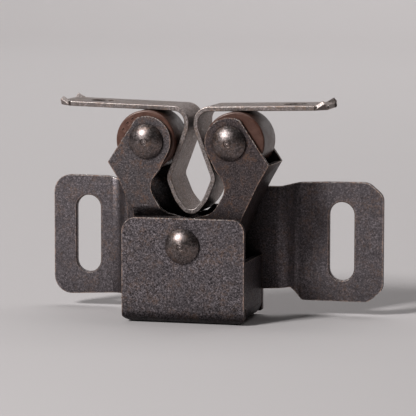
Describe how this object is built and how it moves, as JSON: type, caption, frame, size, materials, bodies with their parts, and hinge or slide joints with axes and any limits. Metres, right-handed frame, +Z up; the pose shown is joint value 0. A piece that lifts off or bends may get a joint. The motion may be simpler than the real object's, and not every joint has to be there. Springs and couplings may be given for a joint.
{
  "type": "double roller catch",
  "caption": "Cupboard door catch: folded bracket with slotted ears, sprung arms with plastic rollers on one pivot rivet, and a bent spear-shaped strike held between them.",
  "frame": {"origin": "centre between the two screw slots, on the mounting face of the ears (their back)", "axes": "+X along the ears to the right in the picture, +Y out of the mounting face, away from the viewer, +Z up, the way the strike is pulled out"},
  "size_m": [0.0577, 0.0187, 0.037],
  "materials": {
    "bracket_finish": "dark antique plated steel, fine grain, satin, brown rubbed edges",
    "arm_finish": "dark antique plated steel, fine grain, satin, brown rubbed edges",
    "rivet_finish": "dark antique plated steel, polished dome",
    "strike_finish": "antique plated steel strip, satin",
    "roller_plastic": "brown moulded plastic, polished tread",
    "spring_steel": "plain drawn wire"
  },
  "bodies": {
    "base": {"bracket": "bracket_finish", "pivot_rivet": "rivet_finish", "spring": "spring_steel"},
    "left_arm": {"left_arm": "arm_finish", "left_roller_rivet": "rivet_finish"},
    "right_arm": {"right_arm": "arm_finish", "right_roller_rivet": "rivet_finish"},
    "left_roller": {"left_roller": "roller_plastic"},
    "right_roller": {"right_roller": "roller_plastic"},
    "strike": {"strike": "strike_finish"}
  },
  "joints": [
    {"name": "strike_slide", "type": "slide", "parent": "base", "child": "strike", "axis": [0, 0, 1], "range_m": [0, 0.0065]},
    {"name": "left_arm_hinge", "type": "hinge", "parent": "base", "child": "left_arm", "pos_m": [-0.00119, -0.009, 0.00038], "axis": [0, -1, 0], "range_deg": [0, 9.9], "stiffness_Nm_per_rad": 0.03, "springref_deg": -14.32, "deforming": ["spring"]},
    {"name": "right_arm_hinge", "type": "hinge", "parent": "base", "child": "right_arm", "pos_m": [-0.00119, -0.009, 0.00038], "axis": [0, 1, 0], "range_deg": [0, 9.9], "stiffness_Nm_per_rad": 0.03, "springref_deg": -14.32},
    {"name": "left_roller_spin", "type": "hinge", "parent": "left_arm", "child": "left_roller", "pos_m": [-0.00867, -0.009, 0.01731], "axis": [0, 1, 0], "continuous": true},
    {"name": "right_roller_spin", "type": "hinge", "parent": "right_arm", "child": "right_roller", "pos_m": [0.00661, -0.009, 0.01731], "axis": [0, 1, 0], "continuous": true}
  ],
  "couplings": [
    {"joint": "left_arm_hinge", "follows": "strike_slide", "rad_per_m": 26.5},
    {"joint": "right_arm_hinge", "follows": "strike_slide", "rad_per_m": 26.5}
  ]
}
